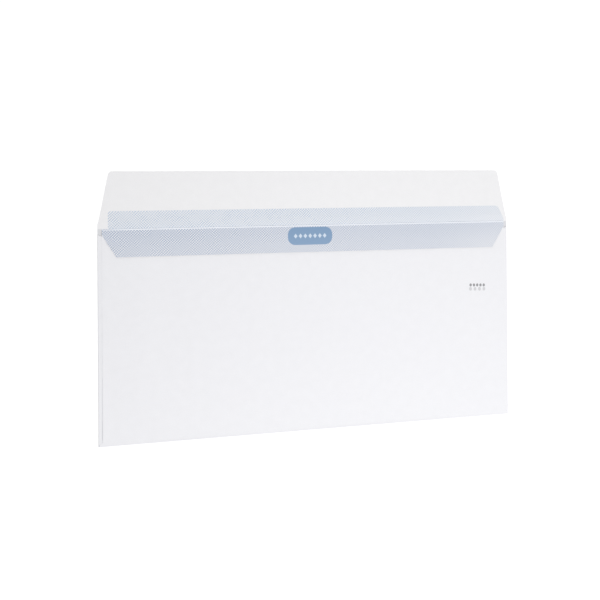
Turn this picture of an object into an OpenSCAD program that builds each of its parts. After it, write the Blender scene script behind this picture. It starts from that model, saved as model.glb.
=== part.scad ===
// Self-seal wallet envelope, 110 x 220 mm, empty and open, lying on its address side.
// It is one die-cut sheet of paper, folded and glued. The address panel lies underneath.
// The closing flap continues it beyond a crease and lies open, flat on the table.
// A side flap on each side is folded in over the address panel, and the back panel is
// folded up over both from the bottom edge and glued down on them.
// Past the throat the back panel ends in a seal flap, folded outwards and sprung up a little.
// Millimetres, +Z up. The origin is on the table, under the middle of the open envelope.

/* [Envelope] */
// Width, from side fold to side fold
env_w = 220; // [160:1:260]
// Height, from the bottom fold to the crease of the closing flap
env_h = 110; // [90:1:180]
// Thickness of the paper
paper_t = 0.1; // [0.08:0.01:0.2]
// Clear height of the pocket, between the address panel and the side flaps
pocket_gap = 0.4; // [0.3:0.1:1.5]

/* [Closing flap] */
// Length, from the crease to the free edge
flap_len = 24.5; // [18:0.5:45]
// How far each end of the crease lies in from the side fold
flap_base_in = 0.5; // [0.3:0.1:2]
// How far each corner of the free edge lies in from the side fold
flap_tip_in = 5.5; // [3:0.5:20]
// Radius of the two corners
flap_corner_r = 2; // [0.5:0.5:8]
// Height of the nick below each end of the crease
nick_h = 1.2; // [0.5:0.1:2]
// Width of the pressed crease
crease_w = 0.6; // [0.4:0.1:1.2]
// Depth of the pressed crease
crease_depth = 0.03; // [0.01:0.01:0.05]

/* [Back panel] */
// Drop from the crease to the top fold of the back panel, which leaves the throat open
throat = 3.6; // [2:0.2:15]
// How far each cut side edge lies in from the side fold
back_in = 2; // [1:0.25:4]
// Height of the sloping shoulders at the bottom fold
back_shoulder = 2.4; // [1.5:0.1:5]

/* [Seal flap] */
// Length, from its fold to the free edge
seal_len = 14; // [8:0.5:25]
// Length of the straight part of its sides, next to the fold
seal_shoulder = 2.5; // [0.5:0.5:4]
// How far each corner of the free edge lies in from the side fold
seal_tip_in = 9; // [5:0.5:20]
// Radius of the two corners
seal_corner_r = 0.8; // [0.2:0.1:3]
// Inner radius of its fold
seal_fold_r = 0.1; // [0.1:0.05:0.5]
// How far its free edge springs up
seal_lift = 0.2; // [0.1:0.1:2]

/* [Side flaps] */
// Width, from the side fold to the free edge
side_w = 18; // [12:1:40]
// How far the top end of the fold lies below the top fold of the back panel
side_top_gap = 3; // [1:0.5:8]
// How far the bottom end of the fold lies above the curve of the bottom fold
side_bottom_gap = 0.5; // [0.3:0.1:3]
// How much lower the free edge ends than the fold, at the top
side_top_slope = 7; // [2:0.5:15]
// How much higher the free edge ends than the fold, at the bottom
side_bottom_slope = 5; // [2:0.5:15]
// Radius of the two corners
side_corner_r = 4; // [1:0.5:8]

/* [Hidden] */
// Number of sides of a full circle, in a fold and in the long curve of the sprung flap
$fn = 64;
long_curve_fn = 720;
// Number of steps in the arc of a rounded corner
corner_steps = 8;
// Heights of the undersides of the stacked layers
side_z = paper_t + pocket_gap;
back_z = side_z + paper_t;
back_top = back_z + paper_t;
// Outer radii of the folds: each wraps what lies between the two layers that it joins
side_fold_r = (side_z + paper_t) / 2;
bottom_fold_r = back_top / 2;
seal_fold_outer_r = seal_fold_r + paper_t;
seal_z = back_top + 2 * seal_fold_r;
// Half widths of the panel, the back panel and the free edges
half_w = env_w / 2;
back_half_w = half_w - back_in;
flap_base_half_w = half_w - flap_base_in;
flap_tip_half_w = half_w - flap_tip_in;
seal_tip_half_w = half_w - seal_tip_in;
// Where the flat part of the address panel ends beside a side fold
side_fold_x = half_w - side_fold_r;
// Distances up the panel from the bottom fold
throat_y = env_h - throat;
side_low_y = bottom_fold_r + side_bottom_gap;
side_high_y = throat_y - side_top_gap;
seal_axis_y = throat_y - seal_fold_outer_r;
seal_shoulder_y = seal_axis_y - seal_shoulder;
seal_edge_y = throat_y - seal_len;
total_len = env_h + flap_len;
paper_white = [0.95, 0.95, 0.97];

// Radius of the arc that rises by rise over half its chord
function arc_radius(half_chord, rise) = (pow(half_chord, 2) + pow(rise, 2)) / (2 * rise);

// Unit vector from a to b
function towards(a, b) = (b - a) / norm(b - a);

// Points of the arc that rounds corner p, between neighbours a and b, with radius r
function corner_arc(a, p, b, r) =
    let (
        u = towards(p, a),
        v = towards(p, b),
        half_angle = acos(u * v) / 2,
        centre = p + (u + v) / norm(u + v) * r / sin(half_angle),
        from = p + u * r / tan(half_angle) - centre,
        to = p + v * r / tan(half_angle) - centre,
        start = atan2(from.y, from.x),
        turn = (atan2(to.y, to.x) - start + 540) % 360 - 180
    )
    [for (i = [0:corner_steps])
        centre + r * [cos(start + turn * i / corner_steps), sin(start + turn * i / corner_steps)]];

// Outline through corners [x, y, r]: a corner with r = 0 stays sharp
function rounded(corners) =
    let (n = len(corners))
    [for (i = [0:n - 1])
        let (
            a = corners[(i + n - 1) % n],
            p = corners[i],
            b = corners[(i + 1) % n]
        )
        each p.z > 0
            ? corner_arc([a.x, a.y], [p.x, p.y], [b.x, b.y], p.z)
            : [[p.x, p.y]]];

// Flat sheet of the given outline, its underside at height z
module panel(corners, z) {
    translate([0, 0, z])
        linear_extrude(paper_t)
            polygon(rounded(corners));
}

// Sheet bent back on itself around an axis along +Y at x = 0: it leaves the layer at z = 0
// towards +X and returns above it
module fold(outer_r, length) {
    translate([0, length, outer_r])
        rotate([90, 0, 0])
            rotate([0, 0, -90])
                rotate_extrude(angle = 180)
                    translate([outer_r - paper_t, 0])
                        square([paper_t, length]);
}

// Address panel and closing flap, one flat sheet, with room at the sides for the side folds
module front_sheet() {
    right = [
        [half_w, bottom_fold_r, 0],
        [half_w, side_low_y, 0],
        [side_fold_x, side_low_y, 0],
        [side_fold_x, side_high_y, 0],
        [half_w, side_high_y, 0],
        [half_w, env_h - nick_h, 0],
        [flap_base_half_w, env_h, 0],
        [flap_tip_half_w, total_len, flap_corner_r]
    ];
    left = [for (i = [len(right) - 1:-1:0]) [-right[i].x, right[i].y, right[i].z]];
    difference() {
        panel(concat(right, left), 0);
        pressed_crease();
    }
}

// Shallow round groove along the closing flap's crease, on the side that it folds towards
module pressed_crease() {
    groove_r = arc_radius(crease_w / 2, crease_depth);
    translate([-half_w, env_h, paper_t - crease_depth + groove_r])
        rotate([0, 90, 0])
            cylinder(r = groove_r, h = env_w);
}

// Bottom fold, from the address panel up into the back panel
module bottom_fold() {
    translate([-half_w, bottom_fold_r, 0])
        rotate([0, 0, -90])
            fold(bottom_fold_r, env_w);
}

// Back panel, with a sloping shoulder at each end of the bottom fold
module back_panel() {
    panel([
        [-half_w, bottom_fold_r, 0],
        [half_w, bottom_fold_r, 0],
        [back_half_w, back_shoulder, 0],
        [back_half_w, seal_axis_y, 0],
        [-back_half_w, seal_axis_y, 0],
        [-back_half_w, back_shoulder, 0]
    ], back_z);
}

// Right side fold and the side flap that it carries under the back panel
module side_flap() {
    translate([side_fold_x, side_low_y, 0])
        fold(side_fold_r, side_high_y - side_low_y);
    panel([
        [side_fold_x, side_low_y, 0],
        [side_fold_x, side_high_y, 0],
        [half_w - side_w, side_high_y - side_top_slope, side_corner_r],
        [half_w - side_w, side_low_y + side_bottom_slope, side_corner_r]
    ], side_z);
}

// Tight fold at the throat, from the back panel out into the seal flap
module seal_fold() {
    translate([back_half_w, seal_axis_y, back_z])
        rotate([0, 0, 90])
            fold(seal_fold_outer_r, 2 * back_half_w);
}

// Seal flap: a sheet with straight shoulders and tapered sides. It leaves its fold flat and
// curls up to its free edge
module seal_flap() {
    curl_r = arc_radius(seal_axis_y - seal_edge_y, seal_lift);
    intersection() {
        translate([0, 0, back_top])
            linear_extrude(curl_r)
                polygon(rounded([
                    [back_half_w, seal_axis_y, 0],
                    [-back_half_w, seal_axis_y, 0],
                    [-back_half_w, seal_shoulder_y, 0],
                    [-seal_tip_half_w, seal_edge_y, seal_corner_r],
                    [seal_tip_half_w, seal_edge_y, seal_corner_r],
                    [back_half_w, seal_shoulder_y, 0]
                ]));
        translate([-half_w, seal_axis_y, seal_z + curl_r])
            rotate([0, 90, 0])
                difference() {
                    cylinder(r = curl_r, h = env_w, $fn = long_curve_fn);
                    translate([0, 0, -1])
                        cylinder(r = curl_r - paper_t, h = env_w + 2, $fn = long_curve_fn);
                }
    }
}

// The whole folded sheet, glued where the back panel lies on the side flaps
module envelope() {
    color(paper_white)
        translate([0, -total_len / 2, 0]) {
            front_sheet();
            bottom_fold();
            side_flap();
            mirror([1, 0, 0])
                side_flap();
            back_panel();
            seal_fold();
            seal_flap();
        }
}

envelope();
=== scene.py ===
"""Looks of the self-seal wallet envelope: one die-cut sheet of white paper, folded and glued. Its
inside has a crossed blue security hatch and a plain blue badge, and its outside has two short rows
of works marks.

The sheet is built along its own blank: a ribbon that runs from the closing flap down the address
panel, round the bottom fold, up the back panel and out into the seal flap, with a side flap on
each side. Every vertex keeps its place on the unfolded blank, and all print is drawn there: across
runs to the right from the middle, and along runs up from the crease of the closing flap.
"""
import math

import bpy
import mathutils
import numpy as np
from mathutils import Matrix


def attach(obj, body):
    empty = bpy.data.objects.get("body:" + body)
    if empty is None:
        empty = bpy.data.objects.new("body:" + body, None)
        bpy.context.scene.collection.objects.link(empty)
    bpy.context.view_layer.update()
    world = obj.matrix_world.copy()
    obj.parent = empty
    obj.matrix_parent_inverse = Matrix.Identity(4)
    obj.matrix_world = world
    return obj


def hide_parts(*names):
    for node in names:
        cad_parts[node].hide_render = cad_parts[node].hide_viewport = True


MM = 0.001

# Sizes of the envelope in millimetres, as in the CAD source
ENV_W = 220.0
ENV_H = 110.0
PAPER_T = 0.1
POCKET_GAP = 0.4
FLAP_LEN = 24.5
FLAP_BASE_IN = 0.5
FLAP_TIP_IN = 5.5
FLAP_CORNER_R = 2.0
NICK_H = 1.2
CREASE_W = 0.6
CREASE_DEPTH = 0.03
THROAT = 3.6
BACK_IN = 2.0
BACK_SHOULDER = 2.4
SEAL_LEN = 14.0
SEAL_SHOULDER = 2.5
SEAL_TIP_IN = 9.0
SEAL_CORNER_R = 0.8
SEAL_FOLD_R = 0.1
SEAL_LIFT = 0.2
SIDE_W = 18.0
SIDE_TOP_GAP = 3.0
SIDE_BOTTOM_GAP = 0.5
SIDE_TOP_SLOPE = 7.0
SIDE_BOTTOM_SLOPE = 5.0
SIDE_CORNER_R = 4.0

# Places that follow: y runs up the panel from the bottom fold, z is the middle of a layer
HALF_W = ENV_W / 2
BACK_HALF_W = HALF_W - BACK_IN
FRONT_Z = PAPER_T / 2
SIDE_Z = PAPER_T + POCKET_GAP + PAPER_T / 2
BACK_Z = SIDE_Z + PAPER_T
SIDE_FOLD_R = (SIDE_Z - FRONT_Z) / 2
BOTTOM_FOLD_R = (BACK_Z - FRONT_Z) / 2
SEAL_MID_R = SEAL_FOLD_R + PAPER_T / 2
SIDE_FOLD_X = HALF_W - SIDE_FOLD_R - PAPER_T / 2
BOTTOM_AXIS_Y = BOTTOM_FOLD_R + PAPER_T / 2
THROAT_Y = ENV_H - THROAT
SEAL_AXIS_Y = THROAT_Y - SEAL_MID_R - PAPER_T / 2
SEAL_SHOULDER_Y = SEAL_AXIS_Y - SEAL_SHOULDER
SEAL_EDGE_Y = THROAT_Y - SEAL_LEN
SIDE_LOW_Y = BOTTOM_AXIS_Y + SIDE_BOTTOM_GAP
SIDE_HIGH_Y = THROAT_Y - SIDE_TOP_GAP
TOTAL_LEN = ENV_H + FLAP_LEN

# Place on the blank, measured up from the crease of the closing flap
BACK_START_S = BOTTOM_AXIS_Y - ENV_H - math.pi * BOTTOM_FOLD_R
SEAL_START_S = BACK_START_S - (SEAL_AXIS_Y - BOTTOM_AXIS_Y) - math.pi * SEAL_MID_R

# How far the paper departs from flat. The closing flap rises in a slow wave
FLAP_RISE = 0.12
FLAP_WAVE = 0.4
FLAP_WAVE_RUN = 31.0
# The back panel's sag is full within this half width and from this height up
BACK_SAG = 0.47
SAG_FULL_X = 76.0
SAG_FULL_Y = 40.0
THROAT_SAG = 0.44
RIPPLE = 0.05
RIPPLE_RUN_X = 19.0
RIPPLE_RUN_Y = 33.0
RIPPLE_BEND_RUN = 27.0
# The back panel's cut edges stand up over a narrow band, most at the lower left
CUT_EDGE_RISE = 0.03
CUT_EDGE_BAND = 4.0
LOW_LEFT_RISE = 0.4
LOW_LEFT_RUN = 22.0
# The seal flap comes to lie on the back panel, lower than in the CAD source, its fold askew
SEAL_RIDE_RUN = 6.0
SEAL_SETTLE = 0.2
FOLD_LEAN = 0.2
LEAN_RUN = 25.0

# Mesh: size of a cell, height of the slits at the ends of a side fold, and numbers of steps
CELL = 2.0
SLIT = 0.05
FOLD_STEPS = 10
CORNER_STEPS = 6
SIDE_CORNER_ANGLES = (20, 40, 60, 75, 90)

# The security tint, in millimetres on the blank. TINT_FULL is where it reaches the side folds
TINT_TOP = 5.05
TINT_LEFT = -105.0
TINT_RIGHT = 108.4
TINT_DEPTH = 40.0
TINT_LEAN = 0.5
TINT_CORNER_R = 1.6
TINT_SOFT = 0.15
TINT_FULL = -7.4
HATCH_PERIOD = 1.383
RISING_SLOPE = 1.03
FALLING_SLOPE = -1.08
PATCH_SCALE = 0.32
CLEAR_SCALE = 0.2

# Painted shade at the two ends of the throat, and the painted highlight along the seal flap's fold
THROAT_END = (109.5, -5.3)
THROAT_END_HALF = (1.2, 1.7)
THROAT_END_CORNER_R = 0.5
THROAT_END_SOFT = 0.4
FOLD_HIGHLIGHT_S = SEAL_START_S + 0.1
FOLD_HIGHLIGHT_HALF = (0.45, 0.7)

# The badge with its row of diamonds, and the works marks
BADGE_CENTRE = (-2.55, SEAL_START_S - 5.44)
BADGE_HALF = (11.9, 4.6)
BADGE_CORNER_R = 3.9
BADGE_SOFT = 0.12
DIAMONDS = 7
DIAMOND_PITCH = 2.6
DIAMOND_HALF_W = 1.005
DIAMOND_SLIMNESS = 0.8
DIAMOND_SOFT = 0.075
MARK_SOFT = 0.08
MARK_ROWS = (
    # First mark, step to the next, number of marks, half width and height, and strength
    ((88.0, 71.9), (1.94, -0.07), 5, (0.67, 0.82), 0.71),
    ((87.9, 69.8), (2.65, -0.08), 4, (0.8, 1.0), 0.28),
)

# Colours, linear, and how much of the paper the ink covers above the throat and on the seal flap
INSIDE_WHITE = (0.896, 0.893, 0.906)
OUTSIDE_WHITE = (0.878, 0.878, 0.906)
CUT_EDGE = (0.86, 0.855, 0.85)
TINT_INK = (0.44, 0.548, 0.695)
SEAL_INK = (0.339, 0.420, 0.572)
TINT_COVER = 0.35
SEAL_COVER = 0.45
# Badge blues: darker towards the seal flap's fold and lighter towards its free edge, as painted
# shade
BADGE_BLUE = (0.241, 0.362, 0.537)
BADGE_BLUE_LOW = (0.262, 0.384, 0.56)
BADGE_PALE = (0.66, 0.75, 0.86)
MARK_INK = (0.12, 0.12, 0.125)
# Light blue of the painted highlight along the seal flap's fold
FOLD_HIGHLIGHT_TINT = (0.855, 0.885, 0.945)
# Grey of the painted shade at the two ends of the throat
THROAT_END_PAINTED_SHADE = (0.75, 0.755, 0.78)

# Scales of the paper's cloudy formation, fibres, grain and cut edge, per millimetre
CLOUD_SCALE = 0.22
FIBRE_SCALE = 2.6
GRAIN_SCALE = 4.5
EDGE_SCALE = 6.0

# Floor, in metres, and the light added to it as it is seen: near the envelope and far off, and the
# distances from its middle between which it grows
FLOOR_HALF = 6.0
FLOOR_LEVEL = -0.00003
FLOOR_COLOUR = (0.86, 0.86, 0.865)
GLOW_NEAR = 0.3
GLOW_FAR = 0.9
GLOW_GROWS = (0.22, 0.55)

# World: how much it lights the scene, and how bright it is seen
WORLD_LIGHT = 0.5
WORLD_SEEN = 1.0

# Square soft lamps: name, place, point that it faces, size and power
LAMPS = (
    ("key", (0.1, -0.22, 0.6), (0.1, -0.22, 0.0), 0.25, 2.18),
    ("low_fill", (0.0, 0.5, 0.12), (0.0, 0.0, 0.0), 0.3, 0.75),
)

# Camera: lens in millimetres, shift, place in metres and turns about X, Y and Z in degrees
CAMERA_LENS = 49.86
CAMERA_SHIFT_Y = -0.2
CAMERA_PLACE = (-0.11442, 0.06029, 0.41796)
CAMERA_TURNS = (0.298, -14.327, -0.406)


def smooth_step(value, start, end):
    """0 below start and 1 above end, smooth between them."""
    t = np.clip((value - start) / (end - start), 0.0, 1.0)
    return t * t * (3 - 2 * t)


def spaced(start, end, step):
    """Evenly spaced values from start to end, about step apart, both ends included."""
    count = max(1, round(abs(end - start) / step))
    return [start + (end - start) * i / count for i in range(count + 1)]


def rounded_end(x_far, x_near, y_near, y_far, radius):
    """Half widths [(y, x)] of a flap's end: its side runs from (x_near, y_near) to the corner
    (x_far, y_far), which is rounded by radius into the straight free edge at y_far."""
    side = np.array([x_near - x_far, y_near - y_far])
    side = side / np.linalg.norm(side)
    edge = np.array([-1.0, 0.0])
    half_angle = math.acos(float(side @ edge)) / 2
    corner = np.array([x_far, y_far])
    bisector = (side + edge) / np.linalg.norm(side + edge)
    centre = corner + bisector * radius / math.sin(half_angle)
    first = corner + side * radius / math.tan(half_angle) - centre
    last = corner + edge * radius / math.tan(half_angle) - centre
    start = math.atan2(first[1], first[0])
    turn = (math.atan2(last[1], last[0]) - start + math.pi) % (2 * math.pi) - math.pi
    points = []
    for i in range(CORNER_STEPS + 1):
        angle = start + turn * i / CORNER_STEPS
        points.append((centre[1] + radius * math.sin(angle), centre[0] + radius * math.cos(angle)))
    return points


def tapered_rows(y_near, x_near, y_far, x_far, radius):
    """Rows [(y, half width)] of a tapered flap, from its fold to its free edge."""
    corner = rounded_end(x_far, x_near, y_near, y_far, radius)
    y_corner, x_corner = corner[0]
    rows = []
    for y in spaced(y_near, y_corner, CELL)[:-1]:
        share = (y - y_near) / (y_corner - y_near)
        rows.append((y, x_near + (x_corner - x_near) * share))
    return rows + corner


def back_rise(x, y):
    """How far the back panel stands above flat at x, y. It sags towards the address panel between
    the side flaps and above their top ends, with a slight ripple. Its cut edges are free, and the
    lower left one stands up a little."""
    inner = 1 - smooth_step(np.abs(x), SAG_FULL_X, HALF_W - SIDE_W)
    side_top = SIDE_HIGH_Y - SIDE_TOP_SLOPE * (SIDE_FOLD_X - np.abs(x)) / (SIDE_W - PAPER_T)
    above = smooth_step(y, np.minimum(side_top, THROAT_Y - 3) - 0.5, THROAT_Y - 1)
    sag = -np.maximum(BACK_SAG * smooth_step(y, 0, SAG_FULL_Y) * inner, THROAT_SAG * above)
    bend = 0.8 * np.sin(y / RIPPLE_BEND_RUN)
    wave = np.sin(x / RIPPLE_RUN_X + bend) * np.sin(y / RIPPLE_RUN_Y + 0.5)
    ripple = RIPPLE * (1 + wave) * inner
    at_edge = smooth_step(np.abs(x), BACK_HALF_W - CUT_EDGE_BAND, BACK_HALF_W)
    lifted = at_edge * smooth_step(y, 1.5, 5)
    low_left = LOW_LEFT_RISE * np.exp(-y / LOW_LEFT_RUN) * (x < 0)
    return sag + ripple + (CUT_EDGE_RISE + low_left) * lifted * (1 - above)


def flap_rise(x, y):
    """How far the closing flap stands off the table at x, y."""
    share = np.clip((y - ENV_H) / FLAP_LEN, 0, None)
    return FLAP_RISE * share ** 2 * (1 + FLAP_WAVE * np.sin(x / FLAP_WAVE_RUN + 1))


def flap_rows():
    """Rows of the closing flap, from its free edge to its crease."""
    base_half = HALF_W - FLAP_BASE_IN
    rows = []
    flap = tapered_rows(ENV_H, base_half, TOTAL_LEN, HALF_W - FLAP_TIP_IN, FLAP_CORNER_R)
    for y, half in reversed(flap[1:]):
        rows.append((y, FRONT_Z, y - ENV_H, half, "front"))
    rows.append((ENV_H + CREASE_W / 2, FRONT_Z, CREASE_W / 2, base_half, "front"))
    rows.append((ENV_H, FRONT_Z - CREASE_DEPTH, 0.0, base_half, "front"))
    return rows


def address_rows():
    """Rows of the address panel, from the crease down. Between the slits at the ends of the side
    folds the ribbon is narrower, because the side folds go on from its edges."""
    front = [(ENV_H - CREASE_W / 2, HALF_W - FLAP_BASE_IN * (1 - CREASE_W / 2 / NICK_H))]
    front += [(ENV_H - NICK_H, HALF_W)]
    front += [(y, HALF_W) for y in spaced(ENV_H - NICK_H, SIDE_HIGH_Y + SLIT, CELL)[1:]]
    front += [(y, SIDE_FOLD_X) for y in spaced(SIDE_HIGH_Y, SIDE_LOW_Y, CELL)]
    front += [(SIDE_LOW_Y - SLIT, HALF_W), (BOTTOM_AXIS_Y, HALF_W)]
    return [(y, FRONT_Z, y - ENV_H, half, "front") for y, half in front]


def bottom_fold_rows():
    """Rows of the bottom fold, without its ends."""
    rows = []
    for i in range(1, FOLD_STEPS):
        angle = math.pi * i / FOLD_STEPS
        y = BOTTOM_AXIS_Y - BOTTOM_FOLD_R * math.sin(angle)
        z = FRONT_Z + BOTTOM_FOLD_R * (1 - math.cos(angle))
        rows.append((y, z, BOTTOM_AXIS_Y - ENV_H - BOTTOM_FOLD_R * angle, HALF_W, "bottom"))
    return rows


def back_rows():
    """Rows of the back panel, from the bottom fold up."""
    back = [(BOTTOM_AXIS_Y, HALF_W), (BACK_SHOULDER, BACK_HALF_W)]
    back += [(y, BACK_HALF_W) for y in spaced(BACK_SHOULDER, SEAL_AXIS_Y, CELL)[1:]]
    return [(y, BACK_Z, BACK_START_S - (y - BOTTOM_AXIS_Y), half, "back") for y, half in back]


def seal_fold_rows():
    """Rows of the seal flap's fold, without its ends."""
    rows = []
    for i in range(1, FOLD_STEPS):
        angle = math.pi * i / FOLD_STEPS
        y = SEAL_AXIS_Y + SEAL_MID_R * math.sin(angle)
        z = BACK_Z + SEAL_MID_R * (1 - math.cos(angle))
        s = SEAL_START_S + math.pi * SEAL_MID_R - SEAL_MID_R * angle
        rows.append((y, z, s, BACK_HALF_W, "seal"))
    return rows


def seal_flap_rows():
    """Rows of the seal flap, from its fold to its free edge."""
    half_tip = HALF_W - SEAL_TIP_IN
    seal = [(y, BACK_HALF_W) for y in spaced(SEAL_AXIS_Y, SEAL_SHOULDER_Y, CELL)[:-1]]
    seal += tapered_rows(SEAL_SHOULDER_Y, BACK_HALF_W, SEAL_EDGE_Y, half_tip, SEAL_CORNER_R)
    rows = []
    for y, half in seal:
        run = SEAL_AXIS_Y - y
        curl = (SEAL_LIFT - SEAL_SETTLE) * (run / (SEAL_AXIS_Y - SEAL_EDGE_Y)) ** 2
        rows.append((y, BACK_Z + 2 * SEAL_MID_R + curl, SEAL_START_S - run, half, "seal"))
    return rows


def ribbon_rows():
    """Rows (y, z, s, half width, part) of the ribbon, from the closing flap to the seal flap. s is
    the place along the blank."""
    front = flap_rows() + address_rows()
    back = bottom_fold_rows() + back_rows()
    return front + back + seal_fold_rows() + seal_flap_rows()


def side_ends(x):
    """Lowest and highest y of the right side flap at x, with its two corners rounded."""
    run = (SIDE_FOLD_X - x) / (SIDE_FOLD_X - (HALF_W - SIDE_W))
    low = SIDE_LOW_Y + SIDE_BOTTOM_SLOPE * run
    high = SIDE_HIGH_Y - SIDE_TOP_SLOPE * run
    into = max(0.0, SIDE_CORNER_R - (x - (HALF_W - SIDE_W)))
    cut = SIDE_CORNER_R - math.sqrt(max(0.0, SIDE_CORNER_R ** 2 - into ** 2))
    return low + cut, high - cut


def side_columns():
    """Columns (x, z, u) of the right side fold and side flap, beyond the address panel's edge."""
    columns = []
    for i in range(1, FOLD_STEPS + 1):
        angle = math.pi * i / FOLD_STEPS
        x = SIDE_FOLD_X + SIDE_FOLD_R * math.sin(angle)
        z = FRONT_Z + SIDE_FOLD_R * (1 - math.cos(angle))
        columns.append((x, z, SIDE_FOLD_X + SIDE_FOLD_R * angle))
    flap_start = SIDE_FOLD_X + math.pi * SIDE_FOLD_R
    free_x = HALF_W - SIDE_W
    places = spaced(SIDE_FOLD_X, free_x + SIDE_CORNER_R, CELL)[1:]
    for angle in SIDE_CORNER_ANGLES:
        places.append(free_x + SIDE_CORNER_R * (1 - math.sin(math.radians(angle))))
    for x in places:
        columns.append((x, SIDE_Z, flap_start + SIDE_FOLD_X - x))
    return columns


def fold_lean(x, y, part):
    """How far the sheet lies up the panel at x, y, because the seal flap's fold runs askew."""
    if part == "back":
        share = smooth_step(y, SEAL_AXIS_Y - LEAN_RUN, SEAL_AXIS_Y)
    elif part == "seal":
        share = smooth_step(y, SEAL_EDGE_Y, SEAL_AXIS_Y - 2)
    else:
        share = 0.0
    return FOLD_LEAN * share * x / HALF_W


def ribbon_grid(rows):
    """Points and blank places of the ribbon, as arrays of rows by columns."""
    across = np.array(spaced(-1.0, 1.0, CELL / HALF_W))
    points = np.zeros((len(rows), len(across), 3))
    blank = np.zeros((len(rows), len(across), 3))
    for i, (y, z, s, half, part) in enumerate(rows):
        x = across * half
        rise = np.zeros_like(x)
        if part == "front":
            rise = flap_rise(x, y)
        elif part == "back":
            rise = back_rise(x, y)
        elif part == "seal":
            settled = smooth_step(s, SEAL_START_S, SEAL_START_S - SEAL_RIDE_RUN)
            rise = back_rise(x, SEAL_AXIS_Y) * (1 - settled) + back_rise(x, y) * settled
        points[i] = np.stack([x, y + fold_lean(x, y, part), z + rise], 1)
        blank[i] = np.stack([x, np.full_like(x, s), np.zeros_like(x)], 1)
    return points, blank


def add_side(points, blank, faces, ribbon, rows, sign):
    """Adds one side fold and side flap to the sheet, joined to the ribbon's outer column."""
    inside = [i for i, row in enumerate(rows) if row[4] == "front" and row[3] == SIDE_FOLD_X]
    edge = 0 if sign < 0 else ribbon.shape[1] - 1
    previous = [int(ribbon[i, edge]) for i in inside]
    for x, z, u in side_columns():
        low, high = side_ends(min(x, SIDE_FOLD_X)) if z == SIDE_Z else (SIDE_LOW_Y, SIDE_HIGH_Y)
        current = []
        for i in inside:
            share = (rows[i][0] - SIDE_LOW_Y) / (SIDE_HIGH_Y - SIDE_LOW_Y)
            y = low + (high - low) * share
            current.append(len(points))
            points.append((sign * x, y, z))
            blank.append((sign * u, y - ENV_H, 0.0))
        for k in range(len(inside) - 1):
            quad = (previous[k], previous[k + 1], current[k + 1], current[k])
            faces.append(quad if sign > 0 else quad[::-1])
        previous = current


def middle_surface():
    """Points, blank places and faces of the sheet's middle surface: one connected surface, whose
    normals point to the inside of the envelope's paper."""
    rows = ribbon_rows()
    grid, grid_blank = ribbon_grid(rows)
    count, width = grid.shape[:2]
    ribbon = np.arange(count * width).reshape(count, width)
    points = [tuple(p) for p in grid.reshape(-1, 3)]
    blank = [tuple(b) for b in grid_blank.reshape(-1, 3)]
    faces = []
    for r in range(count - 1):
        for c in range(width - 1):
            quad = (ribbon[r, c], ribbon[r + 1, c], ribbon[r + 1, c + 1], ribbon[r, c + 1])
            faces.append(tuple(int(k) for k in quad))
    add_side(points, blank, faces, ribbon, rows, 1)
    add_side(points, blank, faces, ribbon, rows, -1)
    return np.array(points), np.array(blank), np.array(faces)


def vertex_normals(points, faces):
    """Unit normals at the points, each the mean of the faces around it by area."""
    a, b, c, d = (points[faces[:, k]] for k in range(4))
    face_normals = np.cross(c - a, d - b)
    normals = np.zeros_like(points)
    for k in range(4):
        np.add.at(normals, faces[:, k], face_normals)
    return normals / np.linalg.norm(normals, axis=1, keepdims=True)


def border_edges(faces):
    """Directed edges that only one face uses."""
    edges = np.concatenate([faces[:, [k, (k + 1) % 4]] for k in range(4)])
    used = set(map(tuple, edges.tolist()))
    return [edge for edge in used if (edge[1], edge[0]) not in used]


def mark_sharp(mesh, border, count):
    """Marks both rims of the cut edge as sharp. count is the number of points of one face."""
    sharp = {frozenset(edge) for edge in border}
    sharp |= {frozenset((a + count, b + count)) for a, b in border}
    marks = [frozenset(edge.vertices) in sharp for edge in mesh.edges]
    mesh.edges.foreach_set("use_edge_sharp", marks)


def build_sheet(inside, outside, cut_edge):
    """The envelope's paper: both faces and the cut edge between them, in one closed mesh."""
    points, blank, faces = middle_surface()
    offset = vertex_normals(points, faces) * PAPER_T / 2
    vertices = np.concatenate([points + offset, points - offset])
    vertices[:, 1] -= TOTAL_LEN / 2
    vertices[:, 2] = np.maximum(vertices[:, 2], 0.0)
    count = len(points)
    border = border_edges(faces)
    polygons = faces.tolist()
    polygons += [[v + count for v in reversed(face)] for face in faces.tolist()]
    polygons += [[b, a, a + count, b + count] for a, b in border]
    mesh = bpy.data.meshes.new("envelope_paper")
    mesh.from_pydata((vertices * MM).tolist(), [], polygons)
    places = mesh.attributes.new("blank", "FLOAT_VECTOR", "POINT")
    places.data.foreach_set("vector", np.concatenate([blank, blank]).ravel())
    for material in (inside, outside, cut_edge):
        mesh.materials.append(material)
    slots = [0] * len(faces) + [1] * len(faces) + [2] * len(border)
    mesh.polygons.foreach_set("material_index", slots)
    mesh.polygons.foreach_set("use_smooth", [slot < 2 for slot in slots])
    mark_sharp(mesh, border, count)
    mesh.update()
    sheet = bpy.data.objects.new("envelope_paper", mesh)
    bpy.context.scene.collection.objects.link(sheet)
    return sheet


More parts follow.
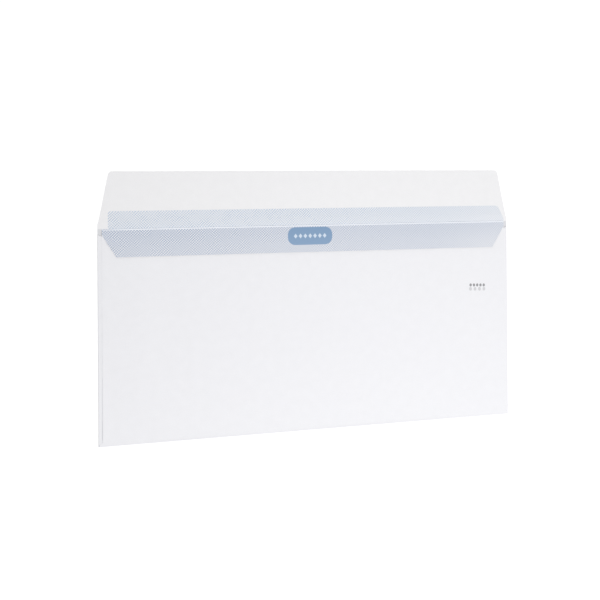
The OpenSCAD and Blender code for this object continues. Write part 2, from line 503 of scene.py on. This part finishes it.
class Shader:
    """A material's node tree, with short calls that make and join its nodes."""

    def __init__(self, name):
        self.material = bpy.data.materials.new(name)
        self.material.use_nodes = True
        self.tree = self.material.node_tree
        self.bsdf = self.tree.nodes["Principled BSDF"]

    def join(self, value, socket):
        """Links another node's output to the socket, or sets the socket to a plain value."""
        if isinstance(value, bpy.types.NodeSocket):
            self.tree.links.new(value, socket)
        else:
            socket.default_value = value

    def math(self, operation, first, second=0.0, third=0.0):
        node = self.tree.nodes.new("ShaderNodeMath")
        node.operation = operation
        for value, socket in zip((first, second, third), node.inputs):
            self.join(value, socket)
        return node.outputs[0]

    def ramp(self, value, start, end):
        """0 below start and 1 above end, smooth between them."""
        node = self.tree.nodes.new("ShaderNodeMapRange")
        node.interpolation_type = "SMOOTHSTEP"
        self.join(value, node.inputs["Value"])
        node.inputs["From Min"].default_value = start
        node.inputs["From Max"].default_value = end
        return node.outputs["Result"]

    def mix(self, share, first, second):
        node = self.tree.nodes.new("ShaderNodeMix")
        node.data_type = "RGBA"
        self.join(share, node.inputs[0])
        for value, socket in zip((first, second), (node.inputs[6], node.inputs[7])):
            self.join((*value, 1.0) if isinstance(value, tuple) else value, socket)
        return node.outputs[2]

    def noise(self, vector, scale, detail):
        node = self.tree.nodes.new("ShaderNodeTexNoise")
        self.join(vector, node.inputs["Vector"])
        node.inputs["Scale"].default_value = scale
        node.inputs["Detail"].default_value = detail
        return node.outputs["Fac"]

    def blank(self):
        """The place on the blank: the vector itself, then its two parts in millimetres."""
        node = self.tree.nodes.new("ShaderNodeAttribute")
        node.attribute_name = "blank"
        parts = self.tree.nodes.new("ShaderNodeSeparateXYZ")
        self.tree.links.new(node.outputs["Vector"], parts.inputs[0])
        return node.outputs["Vector"], parts.outputs["X"], parts.outputs["Y"]


def paper_body(shader, place, white):
    """Colour of bare paper: cloudy formation and fine fibres. It also sets the bump and finish."""
    cloud = shader.noise(place, CLOUD_SCALE, 3.0)
    fibre = shader.noise(place, FIBRE_SCALE, 4.0)
    shade = shader.math("MULTIPLY_ADD", cloud, 0.3, shader.math("MULTIPLY", fibre, 0.7))
    darker = tuple(c * 0.98 for c in white)
    lighter = tuple(c * 1.02 for c in white)
    bump = shader.tree.nodes.new("ShaderNodeBump")
    bump.inputs["Strength"].default_value = 0.12
    bump.inputs["Distance"].default_value = 0.02 * MM
    shader.join(shader.noise(place, GRAIN_SCALE, 5.0), bump.inputs["Height"])
    shader.join(bump.outputs["Normal"], shader.bsdf.inputs["Normal"])
    shader.bsdf.inputs["Roughness"].default_value = 0.88
    shader.bsdf.inputs["Specular IOR Level"].default_value = 0.25
    return shader.mix(shader.ramp(shade, 0.3, 0.7), darker, lighter)


def line_field(shader, across, along, slope):
    """Fine parallel lines of the hatch, from -0.5 to 0.5: along a line, a step along the blank goes
    with slope times that step across."""
    phase = shader.math("MULTIPLY_ADD", along, -slope, across)
    wave = shader.math("SINE", shader.math("MULTIPLY", phase, 2 * math.pi / HATCH_PERIOD))
    return shader.math("SUBTRACT", shader.ramp(wave, -0.8, 0.8), 0.5)


def box_distance(shader, across, along, centre, half, radius):
    """Distance outside a rounded box on the blank, in millimetres, negative within it."""
    over = []
    for value, middle, size in zip((across, along), centre, half):
        away = shader.math("ABSOLUTE", shader.math("SUBTRACT", value, middle))
        over.append(shader.math("MAXIMUM", shader.math("SUBTRACT", away, size - radius), 0.0))
    squares = [shader.math("POWER", value, 2.0) for value in over]
    length = shader.math("SQRT", shader.math("ADD", squares[0], squares[1]))
    return shader.math("SUBTRACT", length, radius)


def security_hatch(shader, place, across, along, on_seal):
    """How thick the ink of the security hatch lies, 1 on average: fine lines that rise, crossed by
    lines that fall. In some patches one of the two prevails, and in some both are faint. They are
    fainter towards the right and on the seal flap."""
    patch = shader.ramp(shader.noise(place, PATCH_SCALE, 1.0), 0.38, 0.62)
    rising = line_field(shader, across, along, RISING_SLOPE)
    rising = shader.math("MULTIPLY", rising, shader.math("MULTIPLY_ADD", patch, 0.8, 0.35))
    falling = line_field(shader, across, along, FALLING_SLOPE)
    falling = shader.math("MULTIPLY", falling, shader.math("MULTIPLY_ADD", patch, -0.5, 0.85))
    contrast = shader.math("MULTIPLY_ADD", shader.ramp(across, -20, 80), -1.15, 1.9)
    contrast = shader.math("MULTIPLY", contrast, shader.math("MULTIPLY_ADD", on_seal, -0.4, 1.0))
    clear = shader.ramp(shader.noise(place, CLEAR_SCALE, 2.0), 0.4, 0.6)
    contrast = shader.math("MULTIPLY", contrast, shader.math("MULTIPLY_ADD", clear, 0.9, 0.5))
    swing = shader.math("MULTIPLY", shader.math("ADD", rising, falling), contrast)
    return shader.math("MAXIMUM", shader.math("ADD", swing, 1.0), 0.0)


def tint_mask(shader, across, along):
    """Where the security tint is printed: all of the inside but a margin round the crease of the
    closing flap and at the ends of the throat. Above the crease its right end leans in."""
    above = shader.math("MAXIMUM", shader.math("ADD", along, 2.0), 0.0)
    lean = shader.math("MULTIPLY", above, shader.ramp(across, 0, 50))
    leaning = shader.math("MULTIPLY_ADD", lean, TINT_LEAN, across)
    centre = ((TINT_LEFT + TINT_RIGHT) / 2, TINT_TOP - TINT_DEPTH / 2)
    half = ((TINT_RIGHT - TINT_LEFT) / 2, TINT_DEPTH / 2)
    outside = box_distance(shader, leaning, along, centre, half, TINT_CORNER_R)
    strip = shader.ramp(outside, TINT_SOFT, -TINT_SOFT)
    pocket = shader.ramp(along, TINT_FULL + 0.2, TINT_FULL)
    return shader.math("MAXIMUM", strip, pocket)


def tint_fade_and_fold_shade(shader, across, along, on_seal):
    """How strongly the tint shows. It fades to the right, and it grows up the strip above the
    throat.
    On the seal flap it is stronger near the fold, which is painted shade, and fades towards the
    free edge."""
    to_right = shader.ramp(across, 60, 110)
    to_edge = shader.ramp(along, SEAL_START_S, SEAL_START_S - SEAL_LEN + 1)
    fade_and_shade = shader.math("MULTIPLY_ADD", to_right, -0.27, 1.07)
    fade_and_shade = shader.math("MULTIPLY_ADD", shader.ramp(across, -110, 0), -0.1, fade_and_shade)
    # Painted shade: the seal flap's tint grows towards its fold.
    painted_fold_shade = shader.math("MULTIPLY", on_seal, shader.math("SUBTRACT", 1.0, to_edge))
    amount = shader.math("MULTIPLY_ADD", to_right, 0.15, 0.18)
    fade_and_shade = shader.math("MULTIPLY_ADD", painted_fold_shade, amount, fade_and_shade)
    fade_and_shade = shader.math("MULTIPLY_ADD", on_seal, -0.06, fade_and_shade)
    on_strip = shader.ramp(along, -THROAT, TINT_TOP)
    amount = shader.math("MULTIPLY_ADD", shader.ramp(across, -100, 0), 0.24, -0.05)
    return shader.math("MULTIPLY_ADD", on_strip, amount, fade_and_shade)


def painted_fold_highlight(shader, across, along):
    """Strength of the painted highlight along the seal flap's fold, fainter at its left end."""
    from_fold = shader.math("ABSOLUTE", shader.math("SUBTRACT", along, FOLD_HIGHLIGHT_S))
    strength = shader.math("MULTIPLY_ADD", shader.ramp(across, -112, -92), 0.5, 0.5)
    line = shader.ramp(from_fold, FOLD_HIGHLIGHT_HALF[1], FOLD_HIGHLIGHT_HALF[0])
    return shader.math("MULTIPLY", line, strength)


def throat_end_shade_mask(shader, across, along):
    """Where painted shade darkens the two ends of the throat to grey."""
    beside = shader.math("ABSOLUTE", across)
    half, radius = THROAT_END_HALF, THROAT_END_CORNER_R
    outside = box_distance(shader, beside, along, THROAT_END, half, radius)
    return shader.ramp(outside, THROAT_END_SOFT, -THROAT_END_SOFT)


def badge_motif(shader, across, along):
    """A plain row of small diamonds on the badge."""
    half_pitch = DIAMOND_PITCH / 2
    from_centre = shader.math("SUBTRACT", across, BADGE_CENTRE[0])
    cell = shader.math("PINGPONG", shader.math("ADD", from_centre, half_pitch), half_pitch)
    side = shader.math("SUBTRACT", half_pitch, cell)
    up = shader.math("ABSOLUTE", shader.math("SUBTRACT", along, BADGE_CENTRE[1]))
    reach = shader.math("ADD", side, shader.math("MULTIPLY", up, DIAMOND_SLIMNESS))
    diamond = shader.ramp(reach, DIAMOND_HALF_W + DIAMOND_SOFT, DIAMOND_HALF_W - DIAMOND_SOFT)
    row_end = DIAMONDS * half_pitch
    within = shader.ramp(shader.math("ABSOLUTE", from_centre), row_end + 0.05, row_end - 0.05)
    return shader.math("MULTIPLY", diamond, within)


def with_badge(shader, across, along, colour):
    """The colour with the badge printed over it. Its blue darkens towards the seal flap's fold as
    painted shade.
    """
    low, high = BADGE_CENTRE[1] - BADGE_HALF[1], BADGE_CENTRE[1] + BADGE_HALF[1]
    # Painted shade: the badge's blue darker towards the seal flap's fold.
    ground = shader.mix(shader.ramp(along, low, high), BADGE_BLUE_LOW, BADGE_BLUE)
    blue = shader.mix(badge_motif(shader, across, along), ground, BADGE_PALE)
    outside = box_distance(shader, across, along, BADGE_CENTRE, BADGE_HALF, BADGE_CORNER_R)
    return shader.mix(shader.ramp(outside, BADGE_SOFT, -BADGE_SOFT), colour, blue)


def inside_material():
    """Inside of the paper: the security tint, the painted highlight along the seal flap's fold, the
    painted shade at the ends of the throat, and the badge over it.
    """
    shader = Shader("paper_inside")
    place, across, along = shader.blank()
    paper = paper_body(shader, place, INSIDE_WHITE)
    on_seal = shader.ramp(along, SEAL_START_S + 2, SEAL_START_S + 1)
    hatch = security_hatch(shader, place, across, along, on_seal)
    cover = shader.math("MULTIPLY_ADD", on_seal, SEAL_COVER - TINT_COVER, TINT_COVER)
    fade_and_shade = tint_fade_and_fold_shade(shader, across, along, on_seal)
    cover = shader.math("MULTIPLY", cover, shader.math("MULTIPLY", hatch, fade_and_shade))
    cover = shader.math("MULTIPLY", cover, tint_mask(shader, across, along))
    ink = shader.mix(on_seal, TINT_INK, SEAL_INK)
    colour = shader.mix(cover, paper, ink)
    # Painted highlight along the seal flap's fold.
    colour = shader.mix(painted_fold_highlight(shader, across, along), colour, FOLD_HIGHLIGHT_TINT)
    # Painted shade at the two ends of the throat.
    colour = shader.mix(throat_end_shade_mask(shader, across, along), colour, THROAT_END_PAINTED_SHADE)
    colour = with_badge(shader, across, along, colour)
    shader.join(colour, shader.bsdf.inputs["Base Color"])
    return shader.material


def works_marks(shader, across, along):
    """Two short rows of small rounded marks near the right edge of the back panel."""
    total = None
    for first, step, number, half, strength in MARK_ROWS:
        for i in range(number):
            x = first[0] + step[0] * i
            s = BACK_START_S + BOTTOM_AXIS_Y - (first[1] + step[1] * i)
            distance = box_distance(shader, across, along, (x, s), half, half[0])
            shape = shader.ramp(distance, MARK_SOFT, -MARK_SOFT)
            mark = shader.math("MULTIPLY", shape, strength)
            total = mark if total is None else shader.math("MAXIMUM", total, mark)
    return total


def outside_material():
    """Outside of the paper: bare, with the small works marks."""
    shader = Shader("paper_outside")
    place, across, along = shader.blank()
    paper = paper_body(shader, place, OUTSIDE_WHITE)
    colour = shader.mix(works_marks(shader, across, along), paper, MARK_INK)
    shader.join(colour, shader.bsdf.inputs["Base Color"])
    return shader.material


def cut_edge_material():
    """Cut edge of the paper, a little darker than its faces."""
    shader = Shader("paper_cut_edge")
    place, _, _ = shader.blank()
    fibre = shader.noise(place, EDGE_SCALE, 3.0)
    darker = tuple(c * 0.9 for c in CUT_EDGE)
    shader.join(shader.mix(fibre, darker, CUT_EDGE), shader.bsdf.inputs["Base Color"])
    shader.bsdf.inputs["Roughness"].default_value = 0.95
    return shader.material


def seen_white(tree):
    """1 for a ray from the camera or one that is mirrored or passes through glass, else 0."""
    path = tree.nodes.new("ShaderNodeLightPath")
    seen = path.outputs["Is Camera Ray"]
    for name in ("Is Glossy Ray", "Is Transmission Ray"):
        node = tree.nodes.new("ShaderNodeMath")
        node.operation = "MAXIMUM"
        tree.links.new(seen, node.inputs[0])
        tree.links.new(path.outputs[name], node.inputs[1])
        seen = node.outputs[0]
    return seen


def floor_glow(tree):
    """A shader that adds light to the floor as it is seen: a little near the envelope, and more
    farther off, where the lamps don't reach."""
    place = tree.nodes.new("ShaderNodeTexCoord")
    distance = tree.nodes.new("ShaderNodeVectorMath")
    distance.operation = "LENGTH"
    tree.links.new(place.outputs["Object"], distance.inputs[0])
    far = tree.nodes.new("ShaderNodeMapRange")
    far.interpolation_type = "SMOOTHSTEP"
    tree.links.new(distance.outputs["Value"], far.inputs["Value"])
    far.inputs["From Min"].default_value = GLOW_GROWS[0]
    far.inputs["From Max"].default_value = GLOW_GROWS[1]
    far.inputs["To Min"].default_value = GLOW_NEAR
    far.inputs["To Max"].default_value = GLOW_FAR
    strength = tree.nodes.new("ShaderNodeMath")
    strength.operation = "MULTIPLY"
    tree.links.new(seen_white(tree), strength.inputs[0])
    tree.links.new(far.outputs["Result"], strength.inputs[1])
    glow = tree.nodes.new("ShaderNodeEmission")
    tree.links.new(strength.outputs[0], glow.inputs["Strength"])
    return glow.outputs[0]


def make_floor():
    """A plain white floor, just below the underside of the envelope."""
    mesh = bpy.data.meshes.new("floor")
    signs = ((-1, -1), (1, -1), (1, 1), (-1, 1))
    corners = [(FLOOR_HALF * x, FLOOR_HALF * y, FLOOR_LEVEL) for x, y in signs]
    mesh.from_pydata(corners, [], [(0, 1, 2, 3)])
    floor = bpy.data.objects.new("floor", mesh)
    bpy.context.scene.collection.objects.link(floor)
    material = bpy.data.materials.new("floor_white")
    material.use_nodes = True
    tree = material.node_tree
    bsdf = tree.nodes["Principled BSDF"]
    bsdf.inputs["Base Color"].default_value = (*FLOOR_COLOUR, 1.0)
    bsdf.inputs["Roughness"].default_value = 0.95
    bsdf.inputs["Specular IOR Level"].default_value = 0.0
    added = tree.nodes.new("ShaderNodeAddShader")
    tree.links.new(bsdf.outputs[0], added.inputs[0])
    tree.links.new(floor_glow(tree), added.inputs[1])
    tree.links.new(added.outputs[0], tree.nodes["Material Output"].inputs["Surface"])
    mesh.materials.append(material)


def make_world():
    """White surroundings: a soft light on the scene, and a plain white background as seen."""
    world = bpy.data.worlds.new("studio")
    bpy.context.scene.world = world
    world.use_nodes = True
    tree = world.node_tree
    background = tree.nodes["Background"]
    background.inputs["Color"].default_value = (1.0, 1.0, 1.0, 1.0)
    strength = tree.nodes.new("ShaderNodeMapRange")
    tree.links.new(seen_white(tree), strength.inputs["Value"])
    strength.inputs["To Min"].default_value = WORLD_LIGHT
    strength.inputs["To Max"].default_value = WORLD_SEEN
    tree.links.new(strength.outputs["Result"], background.inputs["Strength"])


def add_area_light(name, place, target, size, power):
    """A square soft light at place that faces target, both in metres."""
    light = bpy.data.lights.new(name, "AREA")
    light.shape = "SQUARE"
    light.size = size
    light.energy = power
    lamp = bpy.data.objects.new(name, light)
    bpy.context.scene.collection.objects.link(lamp)
    lamp.location = place
    direction = mathutils.Vector(place) - mathutils.Vector(target)
    lamp.rotation_euler = direction.to_track_quat("Z", "Y").to_euler()


def make_camera():
    """The camera: it looks down on the envelope, from nearer to its left end."""
    camera = bpy.data.objects.new("camera", bpy.data.cameras.new("camera"))
    bpy.context.scene.collection.objects.link(camera)
    bpy.context.scene.camera = camera
    camera.data.sensor_width = 36.0
    camera.data.lens = CAMERA_LENS
    camera.data.shift_y = CAMERA_SHIFT_Y
    camera.data.clip_start = 0.01
    camera.location = CAMERA_PLACE
    camera.rotation_mode = "ZXY"
    camera.rotation_euler = tuple(math.radians(turn) for turn in CAMERA_TURNS)


bpy.context.scene.view_settings.view_transform = "Standard"
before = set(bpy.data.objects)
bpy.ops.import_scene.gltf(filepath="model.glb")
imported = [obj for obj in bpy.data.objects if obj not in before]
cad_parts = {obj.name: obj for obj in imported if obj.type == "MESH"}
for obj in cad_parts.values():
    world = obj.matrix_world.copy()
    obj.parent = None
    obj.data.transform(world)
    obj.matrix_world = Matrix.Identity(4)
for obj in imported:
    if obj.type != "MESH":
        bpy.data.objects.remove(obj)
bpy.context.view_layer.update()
make_camera()
envelope = build_sheet(inside_material(), outside_material(), cut_edge_material())
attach(envelope, "root")
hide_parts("envelope")
make_floor()
make_world()
for lamp in LAMPS:
    add_area_light(*lamp)
